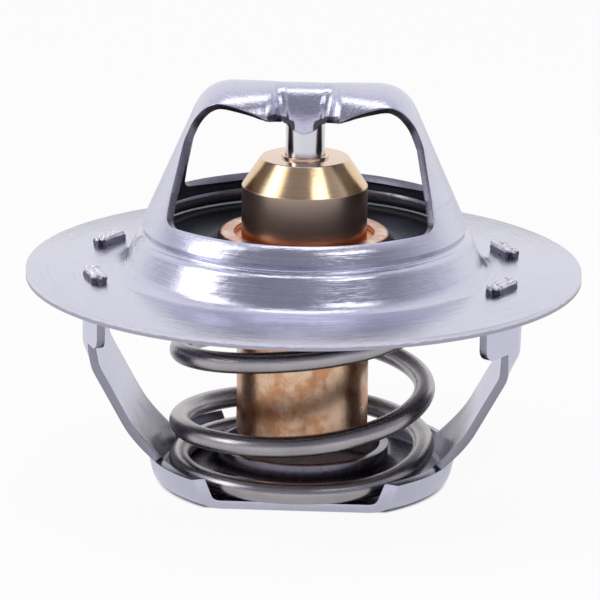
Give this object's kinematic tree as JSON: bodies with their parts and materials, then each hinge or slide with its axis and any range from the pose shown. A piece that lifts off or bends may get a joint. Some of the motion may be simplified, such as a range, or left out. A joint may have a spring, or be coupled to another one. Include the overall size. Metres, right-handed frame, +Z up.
{
  "type": "engine thermostat",
  "caption": "Engine thermostat: a round steel flange with a stepped dome and bridge above, and a wax element, spring and strap frame below.",
  "frame": {"origin": "centre of the flange's top face", "axes": "+Z up the axis from the spring side to the bridge; +X through one leg of the lower frame and one arm of the bridge; +Y across the open windows"},
  "size_m": [0.05, 0.05, 0.0367],
  "materials": {
    "upper_frame": "satin pressed stainless sheet",
    "lower_frame": "satin pressed stainless sheet",
    "piston_pin": "ground bright steel",
    "spring": "dark oiled spring wire",
    "valve_disc": "dark pressed steel",
    "valve_seal": "matt moulded rubber",
    "wax_cup": "satin drawn copper",
    "brass_guide": "turned brass",
    "rubber_sleeve": "moulded rubber",
    "wax_charge": "wax with copper powder",
    "backup_washer": "pale low-friction plastic"
  },
  "bodies": {
    "frame": {"upper_frame": "upper_frame", "lower_frame": "lower_frame", "piston_pin": "piston_pin", "spring": "spring"},
    "element": {"wax_cup": "wax_cup", "brass_guide": "brass_guide", "rubber_sleeve": "rubber_sleeve", "wax_charge": "wax_charge", "backup_washer": "backup_washer", "valve_disc": "valve_disc", "valve_seal": "valve_seal"}
  },
  "joints": [
    {"name": "valve_lift", "type": "slide", "parent": "frame", "child": "element", "axis": [0, 0, -1], "range_m": [0, 0.008], "stiffness_N_per_m": 6000, "springref_m": -0.008, "deforming": ["spring"]}
  ]
}
